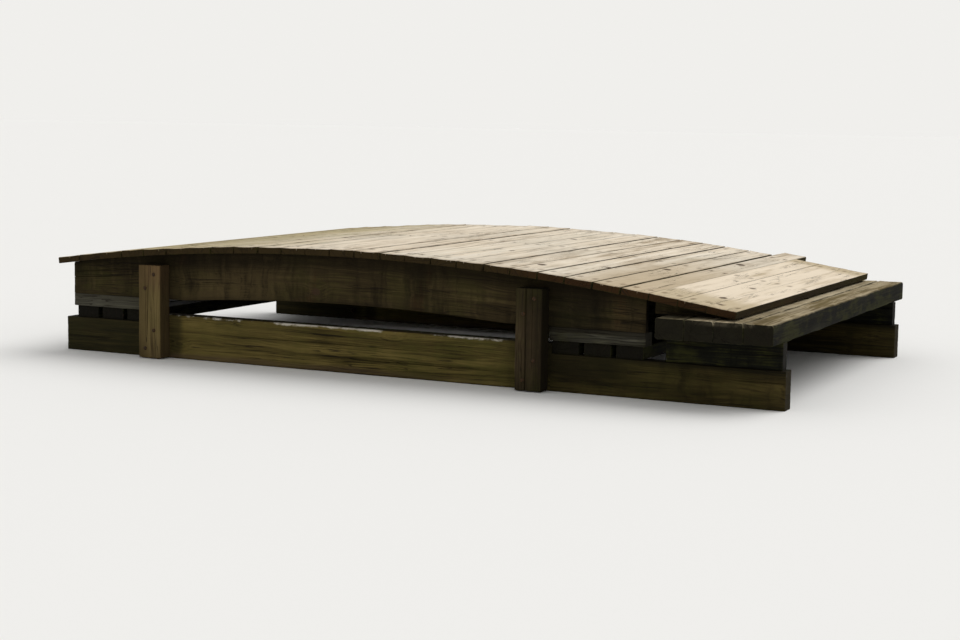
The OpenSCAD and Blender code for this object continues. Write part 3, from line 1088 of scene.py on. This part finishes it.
def joined(shells):
    """Points and quads of several shells in one pair of arrays."""
    starts = np.cumsum([0] + [len(points) for points, _ in shells[:-1]])
    return (
        np.concatenate([points for points, _ in shells]),
        np.concatenate([quads + start for (_, quads), start in zip(shells, starts)]))


def domed_head(diameter, rise, skirt):
    """Half profile of a domed head: a skirt below the surface, then an arc to the top."""
    turn = np.linspace(0, np.pi / 2, 4)[:-1]
    arc = zip(diameter / 2 * np.cos(turn), rise * np.sin(turn))
    return [(diameter / 2, -skirt), *arc, (diameter * 0.02, rise)]


class FOOTBRIDGE_OT_nails(Operator):
    """Drives two nails through every plank into each stringer or wedge"""

    bl_idname = "footbridge.nails"
    bl_label = "Deck nails"
    wander = (0.008, 0.006)

    def execute(self, context):
        wear = context.scene.footbridge_wear
        sizes = context.scene.footbridge_fixings
        rng = draws("nails")
        head = domed_head(sizes.nail_head, sizes.nail_rise, skirt=0.004)
        worn_top = wear.plank_thickness / 2 - wear.thinning - 0.2 * wear.cup
        heads = []
        for _, middle, axes, _ in laid_planks():
            for line in STRINGER_LINES:
                for side in (-1, 1):
                    along, beside = rng.uniform(-1, 1, 2) * self.wander
                    place = middle + axes[1] * (side * nail_offset(context.scene) + along) + axes[2] * worn_top
                    place[1] = line + beside
                    heads.append(turned(head, 12, place, axes[2]))
        mesh_piece("deck_nails", "rusty_iron", *joined(heads)).data.shade_smooth()
        return {"FINISHED"}


class FOOTBRIDGE_OT_bolts(Operator):
    """Bolts every post to its stringer and its lower beam, with domed heads outside and nuts inside"""

    bl_idname = "footbridge.bolts"
    bl_label = "Post bolts"
    # What each bolt goes through, which edge of the post it is near, and its share of the height there
    places = (("lower_beam", 0, 0.24), ("lower_beam", 1, 0.66), ("stringer", 0, 0.34), ("stringer", 1, 0.74))
    # Half profile of the bolt's end, which sticks out past its nut: radius and height
    tail = ((0.006, 0.0), (0.006, 0.024), (0.005, 0.026), (0.0005, 0.026))

    def execute(self, context):
        sizes = context.scene.footbridge_fixings
        # Half profiles of washer, nut and head: radius and height
        washer, thick, nut, tall = sizes.washer / 2, sizes.washer_thickness, sizes.nut / 2, sizes.nut_height
        plate = [(washer, -0.002), (washer, thick * 0.7), (washer * 0.96, thick), (sizes.bolt_head * 0.3, thick)]
        hexagon = [(nut, 0.0), (nut, tall * 0.85), (nut * 0.9, tall), (0.001, tall)]
        dome = domed_head(sizes.bolt_head, sizes.bolt_rise, skirt=0.002)
        for side in SIDES:
            out = np.array([0.0, OUTWARDS[side], 0.0])
            front, rear = (0, 1) if side == "near" else (1, 0)
            for end in ENDS:
                post = box(f"post_{side}_{end}")
                shells = []
                for carrier, edge, share in self.places:
                    behind = box(f"{carrier}_{side}")
                    x = post[edge][0] + (1 - 2 * edge) * sizes.bolt_inset
                    top = behind[1][2] if carrier == "lower_beam" else post[1][2]
                    z = behind[0][2] + share * (top - behind[0][2])
                    back = np.array([x, behind[rear][1], z])
                    seat = back - out * thick
                    shells += [
                        turned(dome, 16, (x, post[front][1], z), out), turned(plate, 20, back, -out),
                        turned(hexagon, 6, seat, -out), turned(self.tail, 10, seat, -out)]
                mesh_piece(f"bolts_{side}_{end}", "rusty_iron", *joined(shells))
        return {"FINISHED"}


class FOOTBRIDGE_OT_stage(Operator):
    """Sets out the pale floor, the soft light and the camera"""

    bl_idname = "footbridge.stage"
    bl_label = "Floor, light and camera"
    towards_lamp = (0.45, 0.60, 1.0)
    sensor = 36.0
    farthest = 1000.0

    def execute(self, context):
        studio = context.scene.footbridge_studio
        self.lay_floor(studio)
        self.light(context.scene, studio)
        self.place_camera(context.scene, studio)
        return {"FINISHED"}

    def lay_floor(self, studio):
        """Flat floor, far wider than the view."""
        size = studio.floor_size
        corners = [(-size, -size, 0.0), (size, -size, 0.0), (size, size, 0.0), (-size, size, 0.0)]
        mesh = bpy.data.meshes.new("floor")
        mesh.from_pydata(corners, [], [(0, 1, 2, 3)])
        paint = Shader(bpy.data.materials.new("floor_paint"))
        cloud = paint.noise(paint.value("TexCoord", output="Object"), (0.6, 0.6, 0.6))
        paint.surface = paint.mix(cloud * 0.03, (*studio.floor_tone, 1.0), (0.6, 0.6, 0.6, 1.0))
        mesh.materials.append(paint.finish(0.9, cloud, specular=0.1))
        put("floor", mesh)

    def light(self, scene, studio):
        """Even light from all round, and a wide soft key from behind on the right, as in the photograph."""
        world = Shader(bpy.data.worlds.new("studio"))
        straight, mirrored, through = (
            world.value("LightPath", output=f"Is {ray} Ray")
            for ray in ("Camera", "Glossy", "Transmission"))
        fill = {"Color": (1.0, 1.0, 1.0, 1.0), "Strength": studio.sky}
        seen = {"Color": (*studio.floor_tone, 1.0), "Strength": studio.sky + studio.key}
        world.node("OutputWorld", {0: world.value("MixShader", {
            0: world.math("MAXIMUM", straight, world.math("MAXIMUM", mirrored, through)),
            1: world.value("Background", fill),
            2: world.value("Background", seen),
        })})
        scene.world = world.owner

        lamp = bpy.data.lights.new("key", "SUN")
        lamp.angle = np.radians(studio.key_softness)
        direction = Vector(self.towards_lamp).normalized()
        lamp.energy = np.pi * studio.key / direction.z
        put("key", lamp).rotation_euler = direction.to_track_quat("Z", "Y").to_euler()

    def place_camera(self, scene, studio):
        """Camera on the photograph's line of sight, but nearer to the bridge, turned towards it."""
        heading, pitch, roll = np.radians([studio.camera_heading, studio.camera_pitch, studio.camera_roll])
        forward = np.array([-np.sin(heading) * np.cos(pitch), np.cos(heading) * np.cos(pitch), np.sin(pitch)])
        level = np.array([np.cos(heading), np.sin(heading), 0.0])
        right = np.cos(roll) * level + np.sin(roll) * np.cross(level, forward)
        turn = Matrix([right.tolist(), np.cross(right, forward).tolist(), (-forward).tolist()]).transposed()
        camera = bpy.data.cameras.new("camera")
        camera.lens, camera.sensor_width, camera.clip_end = studio.lens, self.sensor, self.farthest
        scene.camera = put("camera", camera)
        scene.camera.matrix_world = Matrix.Translation(studio.camera_place) @ turn.to_4x4()
        scene.view_settings.view_transform = "Standard"


PARTS = (
    FOOTBRIDGE_OT_beams, FOOTBRIDGE_OT_bearings, FOOTBRIDGE_OT_stringers, FOOTBRIDGE_OT_posts,
    FOOTBRIDGE_OT_landing, FOOTBRIDGE_OT_deck, FOOTBRIDGE_OT_nails, FOOTBRIDGE_OT_bolts, FOOTBRIDGE_OT_stage)


class FOOTBRIDGE_PT_panel(Panel):
    """Lists the bridge's parts in the order of building"""

    bl_idname = "FOOTBRIDGE_PT_panel"
    bl_label = "Footbridge"
    bl_space_type = "VIEW_3D"
    bl_region_type = "UI"
    bl_category = "Footbridge"

    def draw(self, context):
        for part in PARTS:
            self.layout.operator(part.bl_idname)


GROUPS = {
    "footbridge_wear": BoardWear,
    "footbridge_colours": WoodColours,
    "footbridge_fixings": FixingSizes,
    "footbridge_studio": StudioSettings,
}


def register():
    """Makes the properties, operators and the panel known to Blender."""
    for name, group in GROUPS.items():
        bpy.utils.register_class(group)
        setattr(bpy.types.Scene, name, PointerProperty(type=group))
    for part in (*PARTS, FOOTBRIDGE_PT_panel):
        bpy.utils.register_class(part)


def unregister():
    """Takes them out again, last ones first."""
    for part in (FOOTBRIDGE_PT_panel, *reversed(PARTS)):
        bpy.utils.unregister_class(part)
    for name, group in reversed(GROUPS.items()):
        delattr(bpy.types.Scene, name)
        bpy.utils.unregister_class(group)


def main():
    """Builds every part in order."""
    register()
    for part in PARTS:
        family, action = part.bl_idname.split(".")
        getattr(getattr(bpy.ops, family), action)()


if __name__ == "__main__":
    main()
